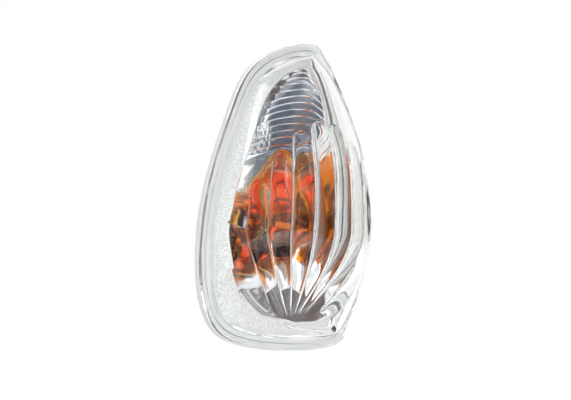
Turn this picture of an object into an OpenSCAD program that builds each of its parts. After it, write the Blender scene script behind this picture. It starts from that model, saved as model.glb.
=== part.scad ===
// Turn signal lamp for the outer edge of a door mirror.
// The front faces -Y and +Z is up. The plane y = 0 is the rear of the housing flange,
// which seats on the mirror shell, and the origin is the middle of that seat.

/* [Outline] */
// Height of the lamp over its flange
lamp_h = 96; // [90:1:110]
// Width of the lamp over its flange
lamp_w = 55; // [52:1:62]

/* [Housing] */
// Thickness of the housing flange
housing_flange_t = 2.2; // [1.8:0.1:3]
// Wall of the housing
housing_wall = 1.6; // [1.4:0.1:1.9]
// Straight skirt of the housing body behind the seat
housing_skirt = 2.5; // [2.1:0.1:3.5]
// Gap between the reflector and the inside of the housing
inner_gap = 0.8; // [0.6:0.1:1]
// Diameter of the fixing boss
fixing_boss_d = 8; // [7:0.5:9]
// Diameter of the screw bore in the fixing boss
fixing_bore_d = 3.2; // [2.8:0.1:4]
// Depth of the screw bore
fixing_bore_l = 9; // [7:0.5:10]
// Height of the fixing boss behind the seat
fixing_boss_h = 18.5; // [18:0.5:20]
// Diameter of the locating pin
pin_d = 4; // [3:0.2:5]
// Height of the locating pin behind the seat
pin_h = 24; // [23:0.5:26]
// Diameter of the shoulder under the locating pin
pin_boss_d = 7; // [6:0.5:7.5]

/* [Lens] */
// Thickness of the lens flange
lens_flange_t = 2.4; // [1.8:0.1:3]
// Width of the open flange round the lens dome
lens_land = 3.4; // [3:0.1:3.8]
// Wall of the lens dome
lens_wall = 2.0; // [1.8:0.1:2.4]
// Height of the dome crest over its flange
lens_rise = 20.3; // [18:0.1:24]
// Number of optic flutes inside the lens
flute_count = 8; // [6:1:10]
// Depth of a flute at the middle of the lens
flute_depth = 1.1; // [0.8:0.1:1.5]
// Depth of the seal groove in the housing flange
seal_groove = 0.9; // [0.7:0.1:1.2]
// Width of the seal groove
seal_w = 1.4; // [1:0.1:1.8]

/* [Reflector] */
// Wall of the reflector
reflector_wall = 1.4; // [1.2:0.1:1.7]
// Step of the reflector land in front of the housing flange
land_lift = 0.8; // [0.6:0.1:1.2]
// Rise of the land from its outer edge to the mouth of the bowl
land_rise = 1.2; // [0.8:0.1:1.6]
// Depth of the lower bowl behind the seat
bowl_low_d = 6.4; // [5.6:0.1:6.6]
// Depth of the bowl behind the bulb
bowl_d = 22; // [21:0.5:24]
// Number of steps in the upper wall of the bowl
step_count = 10; // [8:1:12]
// Gap round the bulb where it enters the bowl
bulb_hole_gap = 0.65; // [0.5:0.05:1]

/* [Bulb] */
// Diameter of the glass bulb
bulb_d = 15.3; // [14.5:0.1:15.8]
// Length of the bulb over the wedge base
bulb_l = 37.8; // [36:0.2:39]
// Wall of the glass
glass_t = 0.9; // [0.6:0.1:1.2]
// Width of the wedge base
wedge_w = 9.5; // [9:0.1:10]
// Thickness of the wedge base
wedge_t = 2.1; // [1.9:0.1:2.4]
// Length of the wedge base
wedge_l = 11; // [10:0.5:12]
// Diameter of the lead wires
lead_d = 0.7; // [0.5:0.1:0.9]
// Distance between the lead wires
lead_gap = 5; // [4:0.5:5.5]
// Forward lean of the bulb
bulb_lean = 35; // [33:1:37]

/* [Bulb holder] */
// Diameter of the barrel that enters the neck
barrel_d = 18; // [17.4:0.1:18.4]
// How far the flange on the holder stands out past its seal
collar_lip = 0.2; // [0.1:0.1:1]
// Thickness of the flange on the holder
collar_t = 2.5; // [2:0.1:3]
// Thickness of the seal under the flange
holder_seal_t = 1.6; // [1.2:0.1:2]
// Length of the neck that the barrel turns in
neck_l = 4; // [3.6:0.1:4.4]
// Radial and end clearance of the barrel in its neck
barrel_gap = 0.25; // [0.2:0.05:0.35]
// Depth of the wedge base inside the holder
wedge_in = 6.5; // [6:0.1:7]
// Length of the connector shroud
shroud_l = 11; // [10.5:0.5:12]
// Width of the connector shroud
shroud_w = 15.2; // [15:0.1:17]
// Height of the connector shroud
shroud_h = 11.2; // [11:0.1:12]
// Wall of the connector shroud
shroud_wall = 1.4; // [1.2:0.1:1.5]
// Thickness of the contact strip
contact_t = 0.8; // [0.6:0.1:1]
// Width of the contact strip
contact_w = 2.4; // [2.2:0.1:2.6]

/* [Small parts] */
// Diameter of the reflector screw
screw_d = 2.2; // [2:0.1:2.4]
// Diameter of its head
screw_head_d = 4.2; // [3.8:0.1:4.6]
// Diameter of the vent patch
vent_d = 9; // [8:0.5:10]
// Diameter of the vent hole
vent_hole_d = 3; // [2:0.5:4]
// Thickness of the vent patch
vent_t = 0.4; // [0.3:0.1:0.6]

/* [Hidden] */
$fn = 48;
eps = 0.01;

// Rows of the outline from the lowest point to the tip, in hundredths of the width and height.
// The left side runs up and the right side runs down, so the rows close into one loop.
outline_left = [[-24.1, -48], [-41.4, -41.8], [-48.3, -29.5], [-48, -12.5], [-42.1, 4.9],
    [-31.2, 22.8], [-18.7, 38.2], [1.6, 47]];
outline_right = [[31.9, 46.4], [38.6, 40.6], [47.5, 24.1], [50.6, 6.3], [51.7, -12.5],
    [50.6, -30.4], [45.5, -44.4], [34.9, -48.5]];
outline_rows = concat([[10.1, -50]], outline_left, [[24.1, 50]], outline_right);

// Rows of the mouth of the bowl, in the same hundredths.
mouth_left = [[-3.1, -40.2], [-18.7, -34.8], [-28, -25.4], [-30.1, -11.6], [-24.1, 4.5],
    [-15.6, 18.8], [-7, 31.3], [6.9, 39.5]];
mouth_right = [[24.1, 38.8], [31.2, 32.6], [34.3, 20.5], [36.9, 5.4], [38, -11.6],
    [36.9, -25.9], [35.8, -35.7], [28, -40.4]];
mouth_rows = concat([[15, -41.4]], mouth_left, [[17.9, 42]], mouth_right);

rows = 9;
// Height of the dome at each row, as a share of its crest.
dome_rows = [0, 0.18, 0.37, 0.7, 1, 0.9, 0.6, 0.34, 0.22, 0];

// Planes along Y.
lens_seat_y = -housing_flange_t;
lens_face_y = lens_seat_y - lens_flange_t;
land_y = lens_seat_y - land_lift;
mouth_y = land_y - land_rise;

// Insets from the outline.
lens_open = lens_land + lens_wall;
lens_edge = 0.5;
lens_lip = 0.5;
land_gap = 0.3;
land_inset = lens_open + land_gap;
// Outsets from the mouth of the bowl, for the inside and the outside of the housing body.
house_in = -reflector_wall - inner_gap;
house_out = house_in - housing_wall;

// Bulb axis: where it crosses the mouth of the holder, and the frame along it.
bulb_x = 6.2;
bulb_y = 16;
bulb_z = -15.5;
collar_offset = 8;
neck_end = holder_seal_t - collar_offset;
neck_wall = 1.8;
neck_r = barrel_d / 2 + barrel_gap + neck_wall;
collar_d = 2 * (neck_r + collar_lip);
collar_gap = 0.3;
tip_s = bulb_l - wedge_in;
shoulder_s = wedge_l - wedge_in;
floor_s = 2.2;

module on_bulb_axis() {
    translate([bulb_x, bulb_y, bulb_z])
        rotate([bulb_lean, 0, 0])
            children();
}

// Height z at which a plane square to the bulb axis, s along it, passes the depth y.
function z_on_plane(y, s) = bulb_z + (s + (y - bulb_y) * sin(bulb_lean)) / cos(bulb_lean);

// Smooth closed curve through the rows.
function blend4(a, b, c, d, t) =
    0.5 * (2 * b + (c - a) * t + (2 * a - 5 * b + 4 * c - d) * t * t + (3 * b - a - 3 * c + d) * t * t * t);
function at_row(p, k) = p[(k + len(p)) % len(p)];
function loop_point(p, u) =
    let(k = floor(u))
    blend4(at_row(p, k - 1), at_row(p, k), at_row(p, k + 1), at_row(p, k + 2), u - k);
function loop_tangent(p, u) =
    let(d = loop_point(p, u + 0.05) - loop_point(p, u + 18 - 0.05))
    d / norm(d);
function sized(p) = [for (q = p) [q[0] * lamp_w / 100, q[1] * lamp_h / 100]];
outline = sized(outline_rows);
mouth = sized(mouth_rows);

// Point of the loop p at u, moved inward by d.
function inset_point(p, u, d) =
    let(q = loop_point(p, u), t = loop_tangent(p, u))
    [q[0] + t[1] * d, q[1] - t[0] * d];

// Value from a list of rows, smooth between them.
function row_value(h, v) =
    let(n = len(h) - 1, k = min(floor(v), n - 1))
    max(0, blend4(h[max(k - 1, 0)], h[k], h[k + 1], h[min(k + 2, n)], v - k));

// Ring of points at the heights v_list: up the left side and down the right.
function ring_u(v_list) =
    let(n = len(v_list) - 1)
    [for (j = [0:2 * n - 1]) j <= n ? v_list[j] : 2 * rows - v_list[2 * n - j]];
function ring(p, v_list, d, y) =
    [for (u = ring_u(v_list)) let(q = inset_point(p, u, d)) [q[0], y, q[1]]];

// Closed solid between a front skin and a back skin that share the rings between them.
// Each skin has its number of columns and the points inside its ring.
function skin_index(i, j, cols, n, ring_base, inner_base) =
    j == 0 ? ring_base
    : j == n ? ring_base + n
    : i == 0 ? ring_base + j
    : i == cols ? ring_base + 2 * n - j
    : inner_base + (i - 1) * (n - 1) + j - 1;
function skin_faces(cols, n, ring_base, inner_base, flip) =
    [for (i = [0:cols - 1]) for (j = [0:n - 1])
        let(a = skin_index(i, j, cols, n, ring_base, inner_base),
            b = skin_index(i + 1, j, cols, n, ring_base, inner_base),
            c = skin_index(i + 1, j + 1, cols, n, ring_base, inner_base),
            d = skin_index(i, j + 1, cols, n, ring_base, inner_base),
            f = j == 0 ? [a, c, d] : j == n - 1 ? [a, b, d] : [a, b, c, d])
        each flip ? [[for (k = [len(f) - 1:-1:0]) f[k]]] : [f]];
function band_faces(m, k) =
    [for (j = [0:m - 1])
        let(a = k * m + j, b = k * m + (j + 1) % m)
        [a + m, b + m, b, a]];
module skinned(rings, cols_a, inner_a, cols_b, inner_b) {
    m = len(rings[0]);
    n = m / 2;
    base = len(rings) * m;
    points = concat([for (r = rings) each r], inner_a, inner_b);
    faces = concat(
        skin_faces(cols_a, n, 0, base, true),
        [for (k = [0:len(rings) - 2]) each band_faces(m, k)],
        skin_faces(cols_b, n, base - m, base + len(inner_a), false));
    polyhedron(points, faces, convexity = 8);
}
// Closed loop of rings, such as a seal.
module ringed(rings) {
    m = len(rings[0]);
    c = len(rings);
    points = [for (r = rings) each r];
    faces = [for (k = [0:c - 1]) for (j = [0:m - 1])
        let(a = k * m + j, b = k * m + (j + 1) % m, e = ((k + 1) % c) * m)
        [e + j, e + (j + 1) % m, b, a]];
    polyhedron(points, faces, convexity = 8);
}

// Position across a row: the columns crowd toward both edges.
function across(f) = (1 - cos(180 * f)) / 2;
function between(a, b, g) = a + (b - a) * g;
// Inner points of a skin over the ring r: columns at f_list, each set at depth y(f, v, x, z).
function crossing(r, v_list, f_list, depth) =
    let(n = len(v_list) - 1)
    [for (f = f_list) for (j = [1:n - 1])
        let(a = r[j], b = r[2 * n - j], g = across(f),
            x = between(a[0], b[0], g), z = between(a[2], b[2], g))
        [x, depth(f, v_list[j], x, z), z]];
function inner_steps(n) = [for (i = [1:n - 1]) i / n];

// Lens.
lens_v = [for (j = [0:36]) j / 4];
dome_cols = 10;
function full(f) = pow(sin(180 * f), 0.55) * (0.45 + 0.55 * f * f * (3 - 2 * f));
function dome_height(f, v) = lens_rise * row_value(dome_rows, v) * full(f) / 0.72;
// The crest levels off softly just over the stated rise.
function levelled(h) = 1.02 * h / pow(1 + pow(h / lens_rise, 12), 1 / 12);
dome_y = function(f, v, x, z) lens_face_y - levelled(dome_height(f, v));

// Flutes: rods on the inside, with round ends at the top, that draw together at the bottom.
flute_edge = 0.1;
flute_top_z = 0.223 * lamp_h;
flute_drop = 0.35 * lamp_h;
flute_low_z = -0.39 * lamp_h;
draw_start_z = -0.134 * lamp_h;
draw_end_z = -0.38 * lamp_h;
function draw_in(z) =
    let(t = min(1, max(0, (draw_start_z - z) / (draw_start_z - draw_end_z))))
    0.81 * pow(t, 1.4);
function drawn(g, z) =
    let(c = 2 * g - 1)
    0.5 + (g - 0.5) * (1 - draw_in(z) * (1 - pow(abs(c), 6)));
function flute_round(f, z) =
    let(w = (f - flute_edge) / (1 - 2 * flute_edge) * flute_count,
        k = min(flute_count - 1, max(0, floor(w + 0.0001))),
        c = 2 * (w - k) - 1,
        centre = across(flute_edge + (1 - 2 * flute_edge) * (k + 0.5) / flute_count),
        top = flute_top_z - flute_drop * pow((centre - 0.6) / 0.6, 2),
        end = lamp_w * 0.075,
        up = max(0, (z - top + end) / end),
        low = max(0, (flute_low_z + end - z) / end))
    (f < flute_edge || f > 1 - flute_edge) ? 0
    : pow(max(0, 1 - c * c - up * up - low * low), 0.8);
flute_steps = 4;
flute_f = [for (i = [0:flute_count * flute_steps])
    flute_edge + (1 - 2 * flute_edge) * i / (flute_count * flute_steps)];
inner_f = concat([flute_edge / 2], flute_f, [1 - flute_edge / 2]);
function inner_dome(r, v_list, f_list) =
    let(n = len(v_list) - 1)
    [for (f = f_list) for (j = [1:n - 1])
        let(a = r[j], b = r[2 * n - j],
            z = between(a[2], b[2], across(f)),
            g = drawn(across(f), z),
            x = between(a[0], b[0], g),
            f2 = acos(1 - 2 * g) / 180,
            skin = lens_face_y + lens_wall - levelled(dome_height(f2, v_list[j])),
            y = skin + flute_depth * pow(sin(180 * f), 0.5) * flute_round(f, z))
        [x, min(y, land_y - lens_lip - 0.1), z]];

module outer_lens() {
    foot = ring(outline, lens_v, lens_land, lens_face_y);
    open = ring(outline, lens_v, lens_open, land_y - lens_lip);
    rings = [
        foot,
        ring(outline, lens_v, lens_edge, lens_face_y),
        ring(outline, lens_v, 0, lens_face_y + lens_edge),
        ring(outline, lens_v, 0, lens_seat_y),
        ring(outline, lens_v, lens_open, lens_seat_y),
        open
    ];
    color([0.93, 0.94, 0.95, 0.45])
        skinned(rings, dome_cols, crossing(foot, lens_v, inner_steps(dome_cols), dome_y),
            len(inner_f) + 1, inner_dome(open, lens_v, inner_f));
}

// Seal in the groove of the housing flange, level with the flange face.
seal_v = [for (j = [0:24]) j * rows / 24];
seal_mid = (lens_open + land_gap) / 2;
module seal_shape(grow) {
    out = seal_mid - seal_w / 2 - grow;
    inn = seal_mid + seal_w / 2 + grow;
    ringed([
        ring(outline, seal_v, out, lens_seat_y - (grow > 0 ? 1 : 0)),
        ring(outline, seal_v, out, lens_seat_y + seal_groove),
        ring(outline, seal_v, inn, lens_seat_y + seal_groove),
        ring(outline, seal_v, inn, lens_seat_y - (grow > 0 ? 1 : 0))
    ]);
}
module lens_seal() {
    color([0.8, 0.81, 0.8])
        seal_shape(0);
}

// Bowl of the reflector: a low part, a floor round the bulb, a deep back and a stepped upper wall.
step_z0 = 0.125 * lamp_h;
step_z1 = 0.42 * lamp_h;
mouth_low_z = mouth_rows[0][1] * lamp_h / 100;
// Heights over its lowest point at which the low part of the bowl turns, a slope that eases off up to the bulb.
bowl_foot = 4;
bowl_heel = 8.5;
bulb_hole_s = -6;
bulb_hole_l = 16;
// Depth at the height z of a skin that lies d behind the face of the bowl.
function bowl_profile(z, d) =
    lookup(z, [
        [mouth_low_z, mouth_y + d],
        [mouth_low_z + bowl_foot, 0.6 * mouth_y + 0.4 * bowl_low_d + d],
        [mouth_low_z + bowl_heel, 0.25 * mouth_y + 0.75 * bowl_low_d + d],
        [z_on_plane(bowl_low_d + d, floor_s - d), bowl_low_d + d],
        [z_on_plane(bowl_d + d, floor_s - d), bowl_d + d],
        [step_z0, 0.6 * bowl_d + d],
        [step_z1, mouth_y + d]
    ]);
// Share of the full depth at the place f of a row: rounded low down, and a valley higher up.
function rounded(f, left, right) = pow(sin(180 * f), f < 0.5 ? left : right);
function valley(f, left, right) =
    let(g = across(f))
    g < 0.5 ? pow(2 * g, left) : pow(2 * (1 - g), right);
function smooth(t) = let(c = min(1, max(0, t))) c * c * (3 - 2 * c);
valley_v0 = 3.8;
valley_v1 = 5.4;
function bowl_share(f, v) =
    between(rounded(f, 0.9, 0.6), valley(f, 1.15, 0.75), smooth((v - valley_v0) / (valley_v1 - valley_v0)));

step_v0 = 5.55;
step_v1 = 8.75;
step_v = (step_v1 - step_v0) / step_count;
bowl_low_v = [0, 0.3, 0.7, 1.2, 1.8, 2.4, 3, 3.4, 3.64, 3.85, 4.1, 4.33, 4.6, 4.9, 5.2];
bowl_v = concat(bowl_low_v,
    [for (k = [0:step_count - 1]) each [step_v0 + k * step_v, step_v0 + (k + 0.82) * step_v]],
    [step_v1, rows]);
bowl_cols = 16;
back_cols = 8;
// Steps hold their depth between risers. They climb from the left and bow over to the right.
step_arc = 0.094 * lamp_h;
function step_lift(f, v) =
    let(g = across(f), t = max(0, (v - step_v0) / (rows - step_v0)))
    step_arc * smooth((v - valley_v0) / (valley_v1 - valley_v0)) * pow(1 - t, 1.3)
    * (1 - pow(1 - g, 2.2)) * (1 - pow(g, 8));
function step_hold(v) =
    v < step_v0 || v > step_v1 ? v : step_v0 + (floor((v - step_v0) / step_v + 0.001) + 0.5) * step_v;
function mid_z(r_v) = (loop_point(mouth, r_v)[1] + loop_point(mouth, 2 * rows - r_v)[1]) / 2;
function bowl_points(r, v_list, f_list, d, stepped) =
    let(n = len(v_list) - 1)
    [for (f = f_list) for (j = [1:n - 1])
        let(a = r[j], b = r[2 * n - j], g = across(f), v = v_list[j],
            x = between(a[0], b[0], g),
            z = between(a[2], b[2], g),
            ref = stepped && v >= step_v0 ? mid_z(step_hold(v)) : z,
            y = mouth_y + d + (bowl_profile(ref, d) - mouth_y - d) * bowl_share(f, v))
        [x, y, z + step_lift(f, v)]];

// Reflector screw: its place, at the depth where the boss of the reflector meets the housing.
screw_boss_d = screw_d + 2;
screw_boss_l = 5.4;
screw_grip = 3.4;
screw_at = [0.13 * lamp_w, bowl_profile(0.24 * lamp_h, 0) + screw_boss_l, 0.29 * lamp_h];
module at_screw() {
    translate(screw_at)
        rotate([-90, 0, 0])
            children();
}

module reflector() {
    back = ring(mouth, bowl_v, -reflector_wall, lens_seat_y);
    front = ring(mouth, bowl_v, 0, mouth_y);
    rings = [
        front,
        ring(outline, bowl_v, land_inset, land_y),
        ring(outline, bowl_v, land_inset, lens_seat_y),
        back
    ];
    color([0.75, 0.76, 0.78])
        difference() {
            union() {
                resize([0, 0, 0])
                    difference() {
                        skinned(rings,
                            bowl_cols, bowl_points(front, bowl_v, inner_steps(bowl_cols), 0, true),
                            back_cols, bowl_points(back, bowl_v, inner_steps(back_cols), reflector_wall, false));
                        on_bulb_axis()
                            translate([0, 0, bulb_hole_s])
                                cylinder(d = bulb_d + 2 * bulb_hole_gap, h = bulb_hole_l, $fn = 32);
                    }
                at_screw()
                    translate([0, 0, reflector_wall / 2 - screw_boss_l])
                        cylinder(d = screw_boss_d, h = screw_boss_l - reflector_wall / 2);
            }
            at_screw()
                translate([0, 0, -screw_grip])
                    cylinder(d = screw_d, h = 20);
        }
}

// Screw through the housing into the reflector, its head at the rear.
screw_seat = 1.8;
screw_head_t = 1.5;
screw_rim = 1.2;
screw_well = 2;
screw_slot = 0.5;
module reflector_screw() {
    color([0.62, 0.62, 0.6])
        at_screw() {
            translate([0, 0, 0.4 - screw_grip])
                cylinder(d = screw_d, h = screw_seat + screw_grip);
            translate([0, 0, screw_seat])
                difference() {
                    cylinder(d = screw_head_d, h = screw_head_t);
                    for (a = [0, 90])
                        rotate([0, 0, a])
                            translate([-screw_head_d / 3, -screw_slot / 2, screw_head_t - 0.7])
                                cube([screw_head_d / 1.5, screw_slot, 1]);
                }
        }
}

// Housing.
back_gap = inner_gap + 1;
house_back = bowl_d + reflector_wall + back_gap + housing_wall;
house_low = bowl_low_d + reflector_wall + back_gap + housing_wall;
shelf_s = neck_end + 0.5;
house_heel = 4;
house_top_d = 5;
house_top_z = 3;
neck_bore = 0.6;
neck_reach = 12;
house_v = [0, 0.3, 0.6, 1, 1.5, 2, 2.5, 3.05, 3.2, 3.5, 3.85, 3.95, 4.4, 5, 5.5, 6, 6.5, 7, 7.5, 8,
    8.25, 8.5, 8.75, 9];
house_cols = 10;
function house_profile(z, d) =
    lookup(z, [
        [mouth_low_z, housing_skirt],
        [mouth_low_z + house_heel, house_low - d],
        [z_on_plane(house_low - d, shelf_s + d), house_low - d],
        [z_on_plane(house_back - d, shelf_s + d), house_back - d],
        [0, house_back - d],
        [step_z0 + step_arc, 0.72 * house_back - d],
        [step_z1 - house_top_z / 3, housing_skirt + house_top_d - d],
        [step_z1 + house_top_z, housing_skirt]
    ]);
function house_points(r, v_list, f_list, d) =
    let(n = len(v_list) - 1)
    [for (f = f_list) for (j = [1:n - 1])
        let(a = r[j], b = r[2 * n - j], g = across(f),
            x = between(a[0], b[0], g),
            z = between(a[2], b[2], g),
            y = housing_skirt - d + (house_profile(z, d) - housing_skirt + d) * rounded(f, 0.9, 0.42))
        [x, y, z]];
fixing_at = [-0.15 * lamp_w, -0.31 * lamp_h];
pin_at = [0.02 * lamp_w, 0.26 * lamp_h];
vent_at = [-0.02 * lamp_w, 0.03 * lamp_h];
// How far the bosses reach into the wall that carries them, and stand out of it.
boss_sink = 1.5;
pin_wall_y = house_profile(pin_at[1], 0);
pin_sink = 3.6;
pin_shoulder = 2.3;
vent_pad_h = 3;
vent_rim = 0.75;
module along_y(p, y0, y1, d) {
    translate([p[0], y0, p[1]])
        rotate([-90, 0, 0])
            cylinder(d = d, h = y1 - y0);
}
lug_count = 3;
lug_w = 5;
lug_t = 2;
lug_out = 1.3;
module lugs(grow, turn, z0, z1) {
    for (k = [0:lug_count - 1])
        rotate([0, 0, turn + k * 360 / lug_count])
            intersection() {
                translate([0, -lug_w / 2 - grow, z0])
                    cube([barrel_d, lug_w + 2 * grow, z1 - z0]);
                translate([0, 0, z0])
                    cylinder(r = barrel_d / 2 + lug_out + grow, h = z1 - z0);
            }
}
module housing() {
    outer = ring(mouth, house_v, house_out, housing_skirt);
    inner = ring(mouth, house_v, house_in, housing_skirt - housing_wall);
    color([0.72, 0.73, 0.74])
        difference() {
            union() {
                resize([0, 0, 0])
                    difference() {
                        skinned([
                            inner,
                            ring(mouth, house_v, house_in, lens_seat_y),
                            ring(outline, house_v, 0, lens_seat_y),
                            ring(outline, house_v, 0, 0),
                            ring(mouth, house_v, house_out, 0),
                            outer
                        ],
                            house_cols, house_points(inner, house_v, inner_steps(house_cols), housing_wall),
                            house_cols, house_points(outer, house_v, inner_steps(house_cols), 0));
                        on_bulb_axis()
                            translate([0, 0, neck_end - neck_reach])
                                cylinder(r = neck_r - neck_bore, h = 26, $fn = 40);
                        seal_shape(0.1);
                    }
                on_bulb_axis()
                    translate([0, 0, neck_end])
                        cylinder(r = neck_r, h = neck_l);
                along_y(fixing_at, house_low - housing_wall - boss_sink, fixing_boss_h, fixing_boss_d);
                along_y(pin_at, pin_wall_y - pin_sink, pin_wall_y + pin_shoulder, pin_boss_d);
                along_y(pin_at, pin_wall_y, pin_h, pin_d);
                along_y(vent_at, house_back - vent_pad_h, house_back, vent_d + 2 * vent_rim);
                at_screw()
                    cylinder(d = screw_head_d + 2 * screw_rim, h = screw_seat + screw_well);
            }
            on_bulb_axis() {
                translate([0, 0, neck_end - 1])
                    cylinder(d = barrel_d + 2 * barrel_gap, h = neck_l + 2);
                lugs(barrel_gap, -30, neck_end - 1, neck_end + neck_l + 1);
                translate([0, 0, neck_end - neck_l])
                    cylinder(d = collar_d + 2 * collar_gap, h = neck_l);
            }
            along_y(fixing_at, fixing_boss_h - fixing_bore_l, fixing_boss_h + 1, fixing_bore_d);
            at_screw() {
                translate([0, 0, -1])
                    cylinder(d = screw_d, h = screw_seat + 2);
                translate([0, 0, screw_seat])
                    cylinder(d = screw_head_d + 0.6, h = 10);
            }
            along_y(vent_at, house_back - 5, house_back + 1, vent_hole_d);
        }
}
module vent_patch() {
    color([0.93, 0.93, 0.91])
        along_y(vent_at, house_back, house_back + vent_t, vent_d);
}

// Bulb: a glass shell on a flat wedge, drawn along its own axis.
glass_r = bulb_d / 2;
dome_h = glass_r * 0.95;
function glass_outline(r, low, tip, neck) = concat(
    [[0, low], [neck, low]],
    [for (a = [0:15:90]) [neck + (r - neck) * sin(a), low + 0.8 + (r - neck) * 1.1 * (1 - cos(a))]],
    [for (a = [0:10:90]) [r * cos(a), tip - dome_h * r / glass_r * (1 - sin(a))]]);
filament_s = 17;
module bulb_glass() {
    color([0.95, 0.42, 0.08, 0.75])
        on_bulb_axis()
            difference() {
                union() {
                    rotate_extrude()
                        polygon(glass_outline(glass_r, shoulder_s - 1.2, tip_s, wedge_w / 2 - 0.3));
                    translate([-wedge_w / 2, -wedge_t / 2, -wedge_in])
                        cube([wedge_w, wedge_t, wedge_l]);
                    for (x = [-wedge_w / 2 + 0.8, wedge_w / 2 - 0.8])
                        translate([x, 0, 0.4])
                            cylinder(d = wedge_t + 0.7, h = shoulder_s - 0.4);
                }
                rotate_extrude()
                    polygon(glass_outline(glass_r - glass_t, shoulder_s + 0.6, tip_s - glass_t,
                        wedge_w / 2 - 1));
                for (side = [-1, 1])
                    translate([side * lead_gap / 2, 0, -wedge_in - 1])
                        cylinder(d = lead_d, h = wedge_l + 4);
            }
}
// A lead rises through the wedge to the filament. Below, it turns out and up along one face.
lead_turn = -wedge_in - lead_d / 2;
lead_fold = 4;
module bulb_lead(side) {
    y = side * (wedge_t + lead_d) / 2;
    color([0.6, 0.6, 0.58])
        on_bulb_axis()
            translate([side * lead_gap / 2, 0, lead_turn]) {
                cylinder(d = lead_d, h = filament_s - lead_turn);
                sphere(d = lead_d);
                rotate([-90 * side, 0, 0])
                    cylinder(d = lead_d, h = abs(y));
                translate([0, y, 0]) {
                    sphere(d = lead_d);
                    cylinder(d = lead_d, h = lead_fold);
                }
            }
}
module bulb_lead_left() {
    bulb_lead(-1);
}
module bulb_lead_right() {
    bulb_lead(1);
}
filament_d = 1.1;
module bulb_filament() {
    color([0.45, 0.45, 0.47])
        on_bulb_axis()
            translate([-lead_gap / 2 - lead_d, 0, filament_s + filament_d / 2])
                rotate([0, 90, 0])
                    cylinder(d = filament_d, h = lead_gap + 2 * lead_d);
}
bead_s = 9.5;
module bulb_bead() {
    color([0.8, 0.82, 0.8, 0.8])
        on_bulb_axis()
            difference() {
                translate([-lead_gap / 2 - 1, 0, bead_s])
                    rotate([0, 90, 0])
                        cylinder(d = 2.2, h = lead_gap + 2);
                for (side = [-1, 1])
                    translate([side * lead_gap / 2, 0, bead_s - 3])
                        cylinder(d = lead_d, h = 6);
            }
}

// Holder, from the mouth at s = 0 to the end of the connector shroud.
collar_low = -collar_offset - collar_t;
grip_l = 4;
grip_rib = 2.2;
shroud_top = collar_low - grip_l;
shroud_end = shroud_top - shroud_l;
slot_w = wedge_w + 0.5;
slot_t = wedge_t + 2 * (lead_d + contact_t) + 0.2;
slot_floor = wedge_in + lead_d + 0.3;
blade_x = 3.6;
blade_y = wedge_t / 2 + lead_d + contact_t / 2;
blade_top = -0.8;
blade_end = shroud_end + 3;
module rounded_bar(w, h, r, z0, z1) {
    translate([0, 0, z0])
        linear_extrude(z1 - z0)
            for (s = [0:1]) {
                square([w - (s == 0 ? 2 * r : 0), h - (s == 0 ? 0 : 2 * r)], center = true);
                for (x = [-1, 1])
                    translate([x * (w / 2 - r), (s == 0 ? 1 : -1) * (h / 2 - r)])
                        circle(r = r);
            }
}
lug_s0 = neck_end + neck_l + barrel_gap;
module bulb_holder() {
    color([0.13, 0.13, 0.14])
        on_bulb_axis()
            difference() {
                union() {
                    translate([0, 0, -collar_offset])
                        cylinder(d = barrel_d, h = collar_offset);
                    lugs(0, -90, lug_s0, lug_s0 + lug_t);
                    translate([0, 0, collar_low])
                        cylinder(d = collar_d, h = collar_t);
                    translate([0, 0, shroud_top])
                        cylinder(d = barrel_d - 1, h = grip_l);
                    for (a = [0, 180])
                        rotate([0, 0, a])
                            translate([0, -grip_rib / 2, shroud_top])
                                cube([collar_d / 2 - 0.4, grip_rib, grip_l + 0.5]);
                    rounded_bar(shroud_w, shroud_h, 1.8, shroud_end, shroud_top + eps);
                    translate([-2.2, shroud_h / 2 - 0.2, shroud_end + 2])
                        cube([4.4, 1.4, 5]);
                }
                translate([0, 0, -2.2])
                    cylinder(d1 = barrel_d - 7, d2 = barrel_d - 2.6, h = 2.3);
                translate([-slot_w / 2, -slot_t / 2, -slot_floor])
                    cube([slot_w, slot_t, slot_floor + 1]);
                rounded_bar(shroud_w - 2 * shroud_wall, shroud_h - 2 * shroud_wall, 0.8,
                    shroud_end - 1, shroud_end + shroud_l - 2);
                contact_path(-1);
                contact_path(1);
            }
}
// Contact strip: it presses on the lead beside the wedge and ends as a blade in the shroud.
module contact_path(side) {
    translate([side * blade_x - contact_w / 2, side * blade_y - contact_t / 2, blade_end])
        cube([contact_w, contact_t, blade_top - blade_end]);
}
module contact_left() {
    color([0.78, 0.7, 0.42])
        on_bulb_axis()
            contact_path(-1);
}
module contact_right() {
    color([0.78, 0.7, 0.42])
        on_bulb_axis()
            contact_path(1);
}
module holder_seal() {
    color([0.2, 0.2, 0.2])
        on_bulb_axis()
            translate([0, 0, -collar_offset])
                difference() {
                    cylinder(d = 2 * neck_r, h = holder_seal_t);
                    translate([0, 0, -1])
                        cylinder(d = barrel_d, h = holder_seal_t + 2);
                }
}

outer_lens();
lens_seal();
reflector();
reflector_screw();
housing();
vent_patch();
bulb_glass();
bulb_filament();
bulb_lead_left();
bulb_lead_right();
bulb_bead();
bulb_holder();
holder_seal();
contact_left();
contact_right();
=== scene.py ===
"""Turn signal lamp for a door mirror, dressed for its picture.

A clear fluted lens, a stepped bright reflector, a housing and an amber wedge bulb are worked out here
as surfaces. The bulb holder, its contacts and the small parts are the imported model's own solids.
Shapes are computed in millimetres and stored in metres.
"""
import math

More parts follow.
